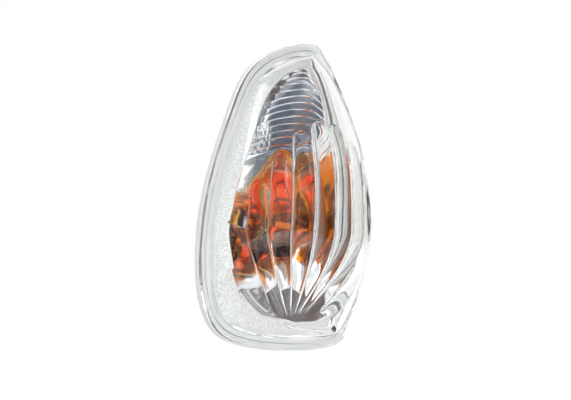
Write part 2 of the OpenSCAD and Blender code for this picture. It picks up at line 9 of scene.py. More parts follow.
import bmesh
import bpy
import numpy as np
from bpy.props import FloatProperty, FloatVectorProperty, IntProperty, PointerProperty
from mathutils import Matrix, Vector


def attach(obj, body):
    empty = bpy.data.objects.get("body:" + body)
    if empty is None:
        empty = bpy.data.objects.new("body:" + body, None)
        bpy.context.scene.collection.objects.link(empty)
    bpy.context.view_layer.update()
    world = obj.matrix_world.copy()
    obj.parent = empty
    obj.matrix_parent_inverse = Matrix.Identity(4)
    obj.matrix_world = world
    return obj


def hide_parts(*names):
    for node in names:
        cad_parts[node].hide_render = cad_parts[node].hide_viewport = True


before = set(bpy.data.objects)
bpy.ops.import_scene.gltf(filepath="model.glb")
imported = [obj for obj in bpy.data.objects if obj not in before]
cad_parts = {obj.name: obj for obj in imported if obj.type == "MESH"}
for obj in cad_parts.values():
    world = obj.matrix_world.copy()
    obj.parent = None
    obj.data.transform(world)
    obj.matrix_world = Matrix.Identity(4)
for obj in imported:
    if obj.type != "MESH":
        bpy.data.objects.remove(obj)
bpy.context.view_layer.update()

bl_info = {
    "name": "Mirror turn signal lamp",
    "version": (1, 0, 0),
    "blender": (4, 5, 0),
    "location": "3D View > Sidebar > Lamp",
    "description": "Builds a door mirror's turn signal lamp",
    "category": "Object",
}

MM = 0.001
BODY = "root"

# Outline of the lamp and mouth of the bowl, in hundredths of the width and height. Each loop starts
# at its lowest point, runs up the left side to the tip, and down the right side.
OUTLINE = np.array([
    (10.1, -50), (-24.1, -48), (-41.4, -41.8), (-48.3, -29.5), (-48, -12.5), (-42.1, 4.9),
    (-31.2, 22.8), (-18.7, 38.2), (1.6, 47), (24.1, 50), (31.9, 46.4), (38.6, 40.6), (47.5, 24.1),
    (50.6, 6.3), (51.7, -12.5), (50.6, -30.4), (45.5, -44.4), (34.9, -48.5)])
MOUTH = np.array([
    (15, -41.4), (-3.1, -40.2), (-18.7, -34.8), (-28, -25.4), (-30.1, -11.6), (-24.1, 4.5),
    (-15.6, 18.8), (-7, 31.3), (6.9, 39.5), (17.9, 42), (24.1, 38.8), (31.2, 32.6), (34.3, 20.5),
    (36.9, 5.4), (38, -11.6), (36.9, -25.9), (35.8, -35.7), (28, -40.4)])
ROWS = 9
LAMP_W = 55.0
LAMP_H = 96.0

# Planes along Y, in millimetres. The rear of the housing flange is at 0 and the front is negative.
LENS_SEAT_Y = -2.2
LENS_UNDER_Y = -2.26
LENS_FACE_Y = -4.6
LAND_Y = -3.0
MOUTH_Y = -4.2
LENS_MOUTH_Y = LAND_Y - 0.5
LENS_CLEAR_Y = LAND_Y - 0.6

# Insets from the lamp's outline: foot of the dome, open inside of the lens, and edge of the land.
LENS_LAND = 3.4
LENS_OPEN = 5.4
LAND_INSET = 5.7
REFLECTOR_WALL = 1.4

# Bulb axis: it leans forward from the mouth of the holder, from which places along it are counted.
BULB_AT = np.array([6.2, 16.0, -15.5])
BULB_LEAN = math.radians(35)
BULB_R = 7.65

# Degrees from which an edge stays sharp, distance within which points are one, and points in a turn.
SHARP = 35
MERGE = 1e-5
TURNS = 96


def linear(code):
    """Linear colour of an sRGB hex value."""
    parts = [int(code[k:k + 2], 16) / 255 for k in (1, 3, 5)]
    return tuple(c / 12.92 if c <= 0.04045 else ((c + 0.055) / 1.055) ** 2.4 for c in parts)


# Sizes and colours that a user may change.


def number(name, description, default, low, high):
    """Property of a whole number."""
    return IntProperty(name=name, description=description, default=default, min=low, max=high)


def length(name, description, default):
    """Property of a length, set to millimetres."""
    return FloatProperty(name=name, description=description, default=default * MM, unit="LENGTH",
                         precision=5)


def paint(name, description, code):
    """Property of a colour, set to an sRGB hex value."""
    return FloatVectorProperty(name=name, description=description, default=linear(code),
                               subtype="COLOR", min=0, max=1)


class LampSizes(bpy.types.PropertyGroup):
    """Sizes of the lamp's optics and finishes."""
    flute_count: number("Flutes", "Optic flutes inside the lens", 8, 4, 12)
    flute_depth: length("Flute depth", "Depth of a flute at mid width", 1.1)
    lens_wall: length("Lens wall", "Wall of the lens dome", 2.0)
    lens_rise: length("Lens rise", "Height of the dome over its flange", 20.3)
    step_count: number("Steps", "Steps in the upper wall of the bowl", 13, 4, 16)
    grain: length("Grain", "Width of one grain of the satin land", 0.45)
    coil_turns: number("Coil turns", "Turns of the filament", 16, 6, 30)


class LampColours(bpy.types.PropertyGroup):
    """Colours of the lamp's materials."""
    lens: paint("Lens", "Tint of the clear acrylic", "#fbfcfb")
    amber: paint("Amber", "Tint of the bulb's glass", "#ffba3e")
    land: paint("Land", "Satin metal round the bowl", "#eceded")
    bowl: paint("Bowl", "Bright metal of the bowl", "#eceef2")
    housing: paint("Housing", "Grey plastic of the housing", "#cfd0d1")
    holder: paint("Holder", "Black plastic of the bulb holder", "#1d1e20")


# Curves and surfaces.


def spline(points, u, closed=True):
    """Cubic spline through points at whole numbers u, and its slope.

    The second slopes solve one linear system, in which each point's bend is the same from both sides.
    A closed spline joins its last point to its first. An open one ends without a bend.
    """
    points = np.asarray(points, float)
    n = len(points)
    matrix = 4 * np.eye(n) + np.eye(n, k=1) + np.eye(n, k=-1)
    right = 6 * (np.roll(points, -1, 0) - 2 * points + np.roll(points, 1, 0))
    if closed:
        matrix[0, -1] = matrix[-1, 0] = 1
    else:
        matrix[[0, -1]] = np.eye(n)[[0, -1]]
        right[[0, -1]] = 0
    bend = np.linalg.solve(matrix, right)
    k = np.floor(u).astype(int)
    if not closed:
        k = np.clip(k, 0, n - 2)
    t = np.asarray(u) - k
    if points.ndim > 1:
        t = t[..., None]
    a, b, bend_a, bend_b = points[k % n], points[(k + 1) % n], bend[k % n], bend[(k + 1) % n]
    value = a + (b - a) * t + ((1 - t) ** 3 - (1 - t)) * bend_a / 6 + (t ** 3 - t) * bend_b / 6
    slope = b - a + (1 - 3 * (1 - t) ** 2) * bend_a / 6 + (3 * t ** 2 - 1) * bend_b / 6
    return value, slope


def loop_at(loop, u, inset):
    """Points of a loop at u, moved square to it towards its middle by inset."""
    value, slope = spline(loop * (LAMP_W, LAMP_H) / 100, u)
    along = slope / np.linalg.norm(slope, axis=-1, keepdims=True)
    return value + inset * np.stack([along[..., 1], -along[..., 0]], -1)


def sides(loop, v, inset):
    """Points at the rows v on the left and on the right side of a loop."""
    return loop_at(loop, v, inset), loop_at(loop, 2 * ROWS - v, inset)


def smooth(t):
    """0 to 1 with level ends: 3 t squared minus 2 t cubed."""
    c = np.clip(t, 0, 1)
    return c * c * (3 - 2 * c)


def across(f):
    """Place across a row: half of one minus the cosine of f half turns, which crowds the edges."""
    return (1 - np.cos(np.pi * f)) / 2


def eased_rows(count, share):
    """Rows of a skin, even ones mixed with a share of ones that crowd at the foot and the tip."""
    t = np.linspace(0, 1, count)
    return ROWS * across(t) * share + ROWS * t * (1 - share)


def skin(loop, inset, v, f, depth, lift=None):
    """Grid over a loop: straight rows from its left side to its right, at the depth(f, v, z).

    f is a column and v is a row. lift raises the points of a row once their depth is known.
    """
    left, right = sides(loop, v, inset)
    g = across(f)[None, :]
    x = left[:, :1] + (right - left)[:, :1] * g
    z = left[:, 1:] + (right - left)[:, 1:] * g
    grid_f, grid_v = np.broadcast_arrays(f[None, :], v[:, None])
    y = depth(grid_f, grid_v, z)
    if lift is not None:
        z = z + lift(grid_f, grid_v)
    return np.stack([x, y, z], -1)


def border_at(points, y):
    """Grid with all its border at the depth y."""
    points[:, [0, -1], 1] = y
    points[[0, -1], :, 1] = y
    return points


def ring(loop, inset, v, y):
    """Points round a loop at the rows v, up the left side and down the right, at depth y."""
    u = np.concatenate([v, 2 * ROWS - v[-2:0:-1]])
    xz = loop_at(loop, u, inset)
    return np.stack([xz[:, 0], np.full(len(u), y), xz[:, 1]], -1)


def grid_faces(points, wrap=False, caps=False):
    """Points and quads of a grid. wrap joins its last column to the first. caps closes its ends."""
    n, m = points.shape[:2]
    index = np.arange(n * m).reshape(n, m)
    if wrap:
        index = np.concatenate([index, index[:, :1]], 1)
    quads = np.stack([index[:-1, :-1], index[:-1, 1:], index[1:, 1:], index[1:, :-1]], -1)
    faces = quads.reshape(-1, 4).tolist()
    if caps:
        faces += [list(range(m))[::-1], list(range((n - 1) * m, n * m))]
    return points.reshape(-1, 3), faces


def shell(grids, inward=False):
    """Closed surface from grids that share edges, with faces turned out, or in for a hollow."""
    bm = bmesh.new()
    for points, faces in grids:
        made = [bm.verts.new(p) for p in points.tolist()]
        for face in faces:
            bm.faces.new([made[k] for k in face])
    bmesh.ops.remove_doubles(bm, verts=bm.verts, dist=MERGE)
    bmesh.ops.dissolve_degenerate(bm, edges=bm.edges, dist=MERGE / 10)
    bmesh.ops.recalc_face_normals(bm, faces=bm.faces)
    if (bm.calc_volume(signed=True) < 0) != inward:
        bmesh.ops.reverse_faces(bm, faces=bm.faces)
    return bm


def placed(name, data):
    """Object of a mesh, a light or a camera, linked into the scene."""
    made = bpy.data.objects.new(name, data)
    bpy.context.scene.collection.objects.link(made)
    return made


def shade_smooth(mesh, sharp):
    """Smooth shading, with edges kept where faces meet at more than sharp degrees."""
    mesh.polygons.foreach_set("use_smooth", np.ones(len(mesh.polygons), bool))
    mesh.set_sharp_from_angle(angle=math.radians(sharp))


def join(made, parts, sharp=SHARP):
    """Adds closed surfaces in millimetres to a piece, whose mesh is in metres."""
    whole = bmesh.new()
    whole.from_mesh(made.data)
    for part in parts:
        bmesh.ops.scale(part, vec=(MM, MM, MM), verts=part.verts)
        extra = bpy.data.meshes.new("extra")
        part.to_mesh(extra)
        part.free()
        whole.from_mesh(extra)
        bpy.data.meshes.remove(extra)
    whole.to_mesh(made.data)
    whole.free()
    shade_smooth(made.data, sharp)


def piece_from(name, parts, material, replaces, sharp=SHARP):
    """Piece of closed surfaces in millimetres that rides on the lamp."""
    made = placed(name, bpy.data.meshes.new(name))
    join(made, parts, sharp)
    made.data.materials.append(material)
    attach(made, BODY)
    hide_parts(*replaces)
    return made


def on_bulb(x, y, s):
    """Points given square to the bulb's axis and along it, turned to its lean."""
    lean_c, lean_s = math.cos(BULB_LEAN), math.sin(BULB_LEAN)
    return np.stack(np.broadcast_arrays(
        BULB_AT[0] + x, BULB_AT[1] + y * lean_c - s * lean_s, BULB_AT[2] + y * lean_s + s * lean_c), -1)


def on_rear(x, y, s, at):
    """Points round an axis that runs out of the lamp's back through the place at, to the depth s."""
    return np.stack(np.broadcast_arrays(at[0] + x, s, at[1] - y), -1)


def lathe(profile, place, turns=TURNS, **where):
    """Surface of a profile of radius and height pairs, turned round the axis that place gives."""
    profile = np.asarray(profile, float)
    angle = np.arange(turns) * 2 * np.pi / turns
    r, s = profile[:, :1], profile[:, 1:]
    return grid_faces(place(r * np.cos(angle), r * np.sin(angle), s, **where), wrap=True)


def z_on_plane(y, s):
    """Height at which a plane square to the bulb's axis, s along it, passes the depth y."""
    return BULB_AT[2] + (s + (y - BULB_AT[1]) * math.sin(BULB_LEAN)) / math.cos(BULB_LEAN)


# Lens.

# Height of the dome at each row, as a share of its crest. Across a row it is rounded by a power of a
# sine and starts lower on the left. A high power levels its crest, and a trim raises it again.
DOME_ROWS = np.array([0, 0.18, 0.37, 0.7, 1, 0.9, 0.6, 0.34, 0.22, 0])
DOME_ROUND = 0.55
DOME_LEFT = 0.45
DOME_WIDEST = 0.72
DOME_LEVEL = 12
DOME_TRIM = 1.02

# The flutes fill the width but for an edge on each side, and are drawn together below.
FLUTE_EDGE = 0.1
EDGE_COLUMNS = np.array([0, 0.03, 0.06])
FLUTE_COLUMNS = 14
DRAW_TOP_Z = -0.134 * LAMP_H
DRAW_OVER = 0.246 * LAMP_H
DRAW_SHARE = 0.81
DRAW_POWER = 1.4
DRAW_SIDES = 6

# Tops of the flutes, which fall to both sides of the highest, the length of an end, their foot, and
# the powers that round a flute and fade it towards the sides of the lens.
FLUTE_TOP = 0.223
FLUTE_DROP = 0.35
FLUTE_CREST = 0.6
FLUTE_END = 0.075 * LAMP_W
FLUTE_FOOT_Z = -0.39 * LAMP_H
FLUTE_ROUND = 0.8
FLUTE_FADE = 0.5

# Corner of the flange, and the insets of the rings on its face and under it.
FLANGE_ROUND = 0.6
FACE_RINGS = (2.4, 1.4)
UNDER_EDGE = 0.1
UNDER_RINGS = (1.2, 2.6, 4)

# Rows and columns of the dome, and the share by which the rows crowd.
LENS_ROWS = 241
LENS_COLUMNS = 121
LENS_CROWD = 0.35


def dome_height(f, v, rise):
    """Height of the dome: its share by rows times a rounded share across, eased level at the crest."""
    share = np.clip(spline(DOME_ROWS, v, closed=False)[0], 0, None)
    wide = np.sin(np.pi * np.clip(f, 0, 1)) ** DOME_ROUND * (DOME_LEFT + (1 - DOME_LEFT) * smooth(f))
    high = rise * share * wide / DOME_WIDEST
    return DOME_TRIM * high / (1 + (high / rise) ** DOME_LEVEL) ** (1 / DOME_LEVEL)


def drawn(g, z):
    """Places across the lens, drawn together below, as the flutes run to one foot.

    The pull grows by a power of the height below its start, and leaves the two sides where they are.
    """
    t = np.clip((DRAW_TOP_Z - z) / DRAW_OVER, 0, 1)
    c = 2 * g - 1
    return 0.5 + (g - 0.5) * (1 - DRAW_SHARE * t ** DRAW_POWER * (1 - np.abs(c) ** DRAW_SIDES))


def flute_round(f, z, count):
    """Height of a flute: a flattened half circle across it, rounded off at its top and foot."""
    w = (f - FLUTE_EDGE) / (1 - 2 * FLUTE_EDGE) * count
    k = np.clip(np.floor(w + 1e-4), 0, count - 1)
    c = 2 * (w - k) - 1
    centre = across(FLUTE_EDGE + (1 - 2 * FLUTE_EDGE) * (k + 0.5) / count)
    top = LAMP_H * (FLUTE_TOP - FLUTE_DROP * ((centre - FLUTE_CREST) / FLUTE_CREST) ** 2)
    up = np.clip((z - top + FLUTE_END) / FLUTE_END, 0, None)
    low = np.clip((FLUTE_FOOT_Z + FLUTE_END - z) / FLUTE_END, 0, None)
    high = np.clip(1 - c * c - up * up - low * low, 0, None) ** FLUTE_ROUND
    return np.where((f < FLUTE_EDGE) | (f > 1 - FLUTE_EDGE), 0, high)


def inner_dome(v, f, sizes):
    """Inside of the lens: the dome less its wall, less the flutes. Its columns follow the flutes."""
    rise = sizes.lens_rise / MM
    wall = sizes.lens_wall / MM
    left, right = sides(OUTLINE, v, LENS_OPEN)
    g = across(f)[None, :]
    z = left[:, 1:] + (right - left)[:, 1:] * g
    pulled = drawn(g, z)
    x = left[:, :1] + (right - left)[:, :1] * pulled
    dome_f = np.arccos(np.clip(1 - 2 * pulled, -1, 1)) / np.pi
    y = LENS_FACE_Y + wall - dome_height(dome_f, v[:, None], rise)
    deep = sizes.flute_depth / MM * np.sin(np.pi * f)[None, :] ** FLUTE_FADE
    y = y + deep * flute_round(f[None, :], z, sizes.flute_count)
    return border_at(np.stack([x, np.minimum(y, LENS_CLEAR_Y), z], -1), LENS_MOUTH_Y)


def flute_columns(count):
    """Columns across the lens: crowded where two flutes meet, as the cosine gives them."""
    within = across(np.arange(FLUTE_COLUMNS) / FLUTE_COLUMNS)
    inner = (np.arange(count)[:, None] + within[None, :]).ravel() / count
    return np.concatenate([EDGE_COLUMNS, FLUTE_EDGE + (1 - 2 * FLUTE_EDGE) * inner,
                           [1 - FLUTE_EDGE], 1 - EDGE_COLUMNS[::-1]])


def lens_rings(v):
    """Flange of the lens from the foot of the dome, round its edge and under to the open inside."""
    profile = [(d, LENS_FACE_Y) for d in (LENS_LAND, *FACE_RINGS)]
    profile += [(FLANGE_ROUND * (1 - math.sin(a)), LENS_FACE_Y + FLANGE_ROUND * (1 - math.cos(a)))
                for a in np.linspace(0, math.pi / 2, 6)]
    profile += [(0, LENS_UNDER_Y - UNDER_EDGE)]
    profile += [(d, LENS_UNDER_Y) for d in (UNDER_EDGE, *UNDER_RINGS, LENS_OPEN)]
    profile += [(LENS_OPEN, LENS_MOUTH_Y)]
    return np.stack([ring(OUTLINE, d, v, y) for d, y in profile])


def build_lens(sizes, material):
    """Clear lens: a smooth dome outside, round flutes inside, and a flange all round."""
    v = eased_rows(LENS_ROWS, LENS_CROWD)
    f = np.linspace(0, 1, LENS_COLUMNS)
    outer = skin(OUTLINE, LENS_LAND, v, f,
                 lambda a, b, z: LENS_FACE_Y - dome_height(a, b, sizes.lens_rise / MM))
    inner = inner_dome(v, flute_columns(sizes.flute_count), sizes)
    body = shell([grid_faces(border_at(outer, LENS_FACE_Y)), grid_faces(lens_rings(v), wrap=True),
                  grid_faces(inner)])
    return piece_from("clear_lens", [body], material, ["outer_lens"], sharp=50)


# Reflector.

# Heights and depths of the bowl: its foot, the shallow toe, the floor at the bulb and the slope above.
BOWL_FOOT_Z = -0.414 * LAMP_H
BOWL_TOP_Z = 0.42 * LAMP_H
BOWL_LOW_D = 6.4
BOWL_D = 22.0
TOE_Z = -29.0
TOE_D = 1.8
TOE_LIP = 1.0
TOE_LIP_SHARE = 0.6
FLOOR_S = 2.2
SLOPE_Z = 0.125 * LAMP_H
SLOPE_SHARE = 0.6

# Powers that round a low row on its left and right and the two walls of the valley higher up, the
# rows over which the valley comes in, and where across a row its bottom is.
LOW_LEFT = 0.9
LOW_RIGHT = 0.6
VALLEY_LEFT = 1.15
VALLEY_RIGHT = 0.8
VALLEY_V0 = 3.8
VALLEY_V1 = 5.4
VALLEY_G = 0.36

# Rows of the first and last step, how a row climbs and bows, and the riser's share of a step.
STEP_V0 = 5.15
STEP_V1 = 8.75
STEP_ARC = 0.094 * LAMP_H
ARC_FADE = 1.3
ARC_CLIMB = 2.2
ARC_BOW = 8
RISER = 0.14
STEP_PARTS = np.array([0, 0.25, 0.5, 0.75,
                       1 - RISER, 1 - 0.8 * RISER, 1 - 0.5 * RISER, 1 - 0.2 * RISER])

# Hole in the bowl for the bulb, along the bulb's axis.
HOLE_R = BULB_R + 0.65
HOLE_LOW = -6
HOLE_HIGH = 10

# Where inside the mouth the bright metal starts, over what width it replaces the satin, and the
# points of the mouth from which that is measured.
BRIGHT_FROM = -0.1
BRIGHT_OVER = 0.8
RIM_POINTS = 720

# Columns across the bowl, rings across the land, and the row up to which the bowl's rows crowd.
BOWL_COLUMNS = 129
LAND_RINGS = 9
FOOT_V = 0.5


def bowl_profile(z, d):
    """Depth at a height of the skin d behind the bowl's face.

    Straight stretches between heights: a shallow toe, a steep wall up to the bulb, a floor square to
    the bulb, and the slope that carries the steps.
    """
    heights = [BOWL_FOOT_Z, BOWL_FOOT_Z + TOE_LIP, TOE_Z, z_on_plane(BOWL_LOW_D + d, FLOOR_S - d),
               z_on_plane(BOWL_D + d, FLOOR_S - d), SLOPE_Z, BOWL_TOP_Z]
    depths = [MOUTH_Y + d, MOUTH_Y + TOE_LIP_SHARE * TOE_D + d, MOUTH_Y + TOE_D + d,
              BOWL_LOW_D + d, BOWL_D + d, SLOPE_SHARE * BOWL_D + d, MOUTH_Y + d]
    return np.interp(z, heights, depths)


def rounded(f, left, right):
    """Sine across a row, to one power on the left and another on the right."""
    return np.sin(np.pi * np.clip(f, 0, 1)) ** np.where(f < 0.5, left, right)


def valley_mix(v):
    """0 on the low rows and 1 where the bowl is a valley."""
    return smooth((v - VALLEY_V0) / (VALLEY_V1 - VALLEY_V0))


def bowl_share(f, v):
    """Share of a row's depth: rounded low down, and two walls that meet in a valley higher up."""
    g = across(f)
    left = (g / VALLEY_G) ** VALLEY_LEFT
    right = ((1 - g).clip(0) / (1 - VALLEY_G)) ** VALLEY_RIGHT
    mix = valley_mix(v)
    return rounded(f, LOW_LEFT, LOW_RIGHT) * (1 - mix) + np.where(g < VALLEY_G, left, right) * mix


def step_lift(f, v):
    """Rise of a row between its ends: it climbs from the left and bows over to the right."""
    g = across(f)
    t = np.clip((v - STEP_V0) / (ROWS - STEP_V0), 0, 1)
    return (STEP_ARC * valley_mix(v) * (1 - t) ** ARC_FADE
            * (1 - (1 - g) ** ARC_CLIMB) * (1 - g ** ARC_BOW))


def mid_z(v):
    """Height of the middle of a row of the mouth."""
    left, right = sides(MOUTH, v, 0)
    return (left[..., 1] + right[..., 1]) / 2


def row_of(z):
    """Row of the mouth whose middle lies at a height, read back from a fine list of rows."""
    v = np.linspace(STEP_V0 - 0.5, ROWS, 400)
    return np.interp(z, mid_z(v), v)


def step_place(v, count):
    """Number of the step that a row lies on, and its share of that step's height."""
    low, high = mid_z(np.array([STEP_V0, STEP_V1]))
    w = (mid_z(np.asarray(v, float)) - low) / (high - low) * count
    return np.floor(w), w - np.floor(w), low, (high - low) / count


def held_height(v, count):
    """Height whose depth a step holds: level over the tread, and rounded up the riser to the next."""
    k, t, low, step = step_place(v, count)
    return low + (k + 0.5 + smooth((t - (1 - RISER)) / RISER)) * step


def bowl_skin(inset, d, v, f, count=None):
    """Skin of the bowl at d behind its face, with its steps if their count is given."""
    def depth(a, b, z):
        if count:
            z = np.where((b >= STEP_V0) & (b <= STEP_V1), held_height(b, count), z)
        return MOUTH_Y + d + (bowl_profile(z, d) - MOUTH_Y - d) * bowl_share(a, b)
    return skin(MOUTH, inset, v, f, depth, step_lift)


def bowl_rows(count):
    """Rows of the bowl: even ones, and for each step its tread, its edge and its riser."""
    low, high = mid_z(np.array([STEP_V0, STEP_V1]))
    heights = low + (np.arange(count)[:, None] + STEP_PARTS[None, :]).ravel() / count * (high - low)
    return np.concatenate([np.linspace(0, FOOT_V, 12)[:-1], np.linspace(FOOT_V, STEP_V0, 90)[:-1],
                           row_of(heights)[1:], np.linspace(STEP_V1, ROWS, 14)])


def build_reflector(sizes, material):
    """Reflector: a satin land round a bright bowl, whose upper wall climbs in curved steps."""
    v = bowl_rows(sizes.step_count)
    f = np.linspace(0, 1, BOWL_COLUMNS)
    front = border_at(bowl_skin(0, 0, v, f, sizes.step_count), MOUTH_Y)
    back = border_at(bowl_skin(-REFLECTOR_WALL, REFLECTOR_WALL, v, f), LENS_SEAT_Y)
    mouth = ring(MOUTH, 0, v, MOUTH_Y)
    edge = ring(OUTLINE, LAND_INSET, v, LAND_Y)
    land = np.stack([mouth + (edge - mouth) * t for t in np.linspace(0, 1, LAND_RINGS)])
    under = np.stack([edge, ring(OUTLINE, LAND_INSET, v, LENS_SEAT_Y),
                      ring(MOUTH, -REFLECTOR_WALL, v, LENS_SEAT_Y)])
    body = shell([grid_faces(front), grid_faces(land, wrap=True), grid_faces(under, wrap=True),
                  grid_faces(back)])
    made = piece_from("bright_reflector", [body], material, ["reflector"])
    cut_round(made, HOLE_R, HOLE_LOW, HOLE_HIGH)
    mark_bowl(made)
    return made


def cut_round(made, radius, low, high):
    """Cuts a round hole along the bulb's axis."""
    profile = [(0, low), (radius, low), (radius, high), (0, high)]
    tool = shell([lathe(profile, on_bulb)])
    mesh = bpy.data.meshes.new("hole_tool")
    bmesh.ops.scale(tool, vec=(MM, MM, MM), verts=tool.verts)
    tool.to_mesh(mesh)
    tool.free()
    cutter = placed("hole_tool", mesh)
    change = made.modifiers.new("hole", "BOOLEAN")
    change.object = cutter
    change.operation = "DIFFERENCE"
    change.solver = "EXACT"
    bpy.context.view_layer.update()
    depsgraph = bpy.context.evaluated_depsgraph_get()
    cut = bpy.data.meshes.new_from_object(made.evaluated_get(depsgraph))
    made.modifiers.clear()
    old = made.data
    made.data = cut
    cut.name = made.name
    bpy.data.meshes.remove(old)
    bpy.data.objects.remove(cutter)
    bpy.data.meshes.remove(mesh)
    shade_smooth(cut, SHARP)


def mark_bowl(made):
    """Attribute, 0 on the land and 1 in the bowl, from each point's distance inside the mouth."""
    count = len(made.data.vertices)
    points = np.zeros(count * 3, np.float32)
    made.data.vertices.foreach_get("co", points)
    points = points.reshape(-1, 3) / MM
    u = np.linspace(0, 2 * ROWS, RIM_POINTS + 1)[:-1]
    rim = loop_at(MOUTH, u, 0)
    inward = loop_at(MOUTH, u, 1) - rim
    gap = points[:, None, [0, 2]] - rim[None]
    nearest = np.argmin((gap ** 2).sum(-1), 1)
    inside = (gap[np.arange(count), nearest] * inward[nearest]).sum(-1)
    share = smooth((inside - BRIGHT_FROM) / BRIGHT_OVER).astype(np.float32)
    made.data.attributes.new("bowl_share", "FLOAT", "POINT").data.foreach_set("value", share)


# Housing.

# Body: insets from the mouth, the skirt behind the flange, the wall, the back, the shelf at the bulb,
# the slope's share of the depth, and the power that rounds a row on its right.
HOUSE_IN = -2.2
HOUSE_OUT = -3.8
HOUSE_SKIRT = 2.5
HOUSE_WALL = 1.6
HOUSE_BACK = 26.8
HOUSE_LOW = 11.2
SHELF_S = -5.9
HOUSE_SLOPE = 0.72
HOUSE_RIGHT = 0.42

# Height of the foot, the crown where the slope ends, and the shifts whose mean eases a corner.
HOUSE_FOOT = 4
CROWN_LOW_Z = BOWL_TOP_Z - 1
CROWN_TOP_Z = BOWL_TOP_Z + 3
CROWN_D = 5
CORNER_SHIFTS = (-1.2, -0.6, 0, 0.6, 1.2)

HOUSE_ROWS = 181
HOUSE_COLUMNS = 81
HOUSE_CROWD = 0.5

# Groove for the sealant, and the edges of the flange and of the body's root.
GROOVE_IN = 3.65
GROOVE_OUT = 2.05
GROOVE_Y = -1.3
FRONT_EDGE = 0.15
REAR_EDGE = 0.3
ROOT_EDGES = ((0.5, 0), (0.15, 0.15), (0, 0.5))

# Bosses on the back. A bore is its radius and the depth of its floor.
FIXING_AT = (-8.25, -29.76)
FIXING_R = 4.0
FIXING_END = 18.5
FIXING_BORE = (1.6, 9.5)
PIN_AT = (1.1, 24.96)
PIN_R = 2.0
PIN_END = 24.0
PIN_ROUND = 0.7
PIN_PAD_R = 3.5
PIN_PAD_IN = 3.6
PIN_PAD_OUT = 2.3
VENT_AT = (-1.1, 2.88)
VENT_R = 5.25
VENT_IN = 3
SCREW_AT = (7.15, 27.84)
SCREW_R = 3.3
SCREW_BORE_R = 2.4
SCREW_SEAT_Y = 16.0
SCREW_FLOOR = 1.8
SCREW_RIM = 2
BOSS_ROUND = 0.35
BORE_EDGE = 0.3
BOSS_TURNS = 64

# Neck that takes the bulb holder, along the bulb's axis, and the hole that it passes.
NECK_R = 11.05
NECK_END = -6.4
NECK_L = 4.0
NECK_BORE_R = 9.25
NECK_EDGE = 0.4
NECK_HOLE_R = NECK_R - 0.6
NECK_HOLE_LOW = -18
NECK_HOLE_HIGH = 8


def house_profile(z, d):
    """Depth of the housing's wall at a height, d inside its outer face."""
    heights = [BOWL_FOOT_Z, BOWL_FOOT_Z + HOUSE_FOOT, z_on_plane(HOUSE_LOW - d, SHELF_S + d),
               z_on_plane(HOUSE_BACK - d, SHELF_S + d), 0, SLOPE_Z + STEP_ARC, CROWN_LOW_Z, CROWN_TOP_Z]
    depths = [HOUSE_SKIRT, HOUSE_LOW - d, HOUSE_LOW - d, HOUSE_BACK - d, HOUSE_BACK - d,
              HOUSE_SLOPE * HOUSE_BACK - d, HOUSE_SKIRT + CROWN_D - d, HOUSE_SKIRT]
    return np.interp(z, heights, depths)


def house_skin(inset, d, v, f):
    """Skin of the body, d inside its outer face, eased over its corners by a mean of heights."""
    def depth(a, b, z):
        eased = sum(house_profile(z + shift, d) for shift in CORNER_SHIFTS) / len(CORNER_SHIFTS)
        return HOUSE_SKIRT - d + (eased - HOUSE_SKIRT + d) * rounded(a, LOW_LEFT, HOUSE_RIGHT)
    return skin(MOUTH, inset, v, f, depth)


def boss(at, radius, low, high, fillet=BOSS_ROUND, bore=None):
    """Round boss out of the back: a side, a rounded rim, and a bored hollow if one is given."""
    side = [(0, low), (radius, low)]
    side += [(radius - fillet + fillet * math.cos(a), high - fillet + fillet * math.sin(a))
             for a in np.linspace(0, np.pi / 2, 5)]
    if bore:
        bore_r, floor = bore
        side += [(bore_r + BORE_EDGE, high), (bore_r, high - BORE_EDGE), (bore_r, floor), (0, floor)]
    else:
        side += [(0, high)]
    return shell([lathe(side, on_rear, BOSS_TURNS, at=at)])


def flange_rings(v):
    """Flange: from the inside over the grooved seat, round the edge and in to the body's root."""
    inner = [ring(MOUTH, HOUSE_IN, v, y) for y in (HOUSE_SKIRT - HOUSE_WALL, LENS_SEAT_Y)]
    outer = [ring(OUTLINE, d, v, y) for d, y in (
        (GROOVE_IN, LENS_SEAT_Y), (GROOVE_IN, GROOVE_Y), (GROOVE_OUT, GROOVE_Y),
        (GROOVE_OUT, LENS_SEAT_Y), (FRONT_EDGE, LENS_SEAT_Y), (0, LENS_SEAT_Y + FRONT_EDGE),
        (0, -REAR_EDGE), (REAR_EDGE, 0))]
    root = [ring(MOUTH, HOUSE_OUT - d, v, y) for d, y in (*ROOT_EDGES, (0, HOUSE_SKIRT))]
    return np.stack(inner + outer + root)


def neck_shell():
    """Neck round the bulb's axis, with its edges taken off where the bulb holder seats."""
    profile = [(NECK_BORE_R, NECK_END + BORE_EDGE), (NECK_BORE_R + BORE_EDGE, NECK_END),
               (NECK_R - NECK_EDGE, NECK_END), (NECK_R, NECK_END + NECK_EDGE),
               (NECK_R, NECK_END + NECK_L), (NECK_BORE_R, NECK_END + NECK_L)]
    return shell([lathe(profile + profile[:1], on_bulb)])


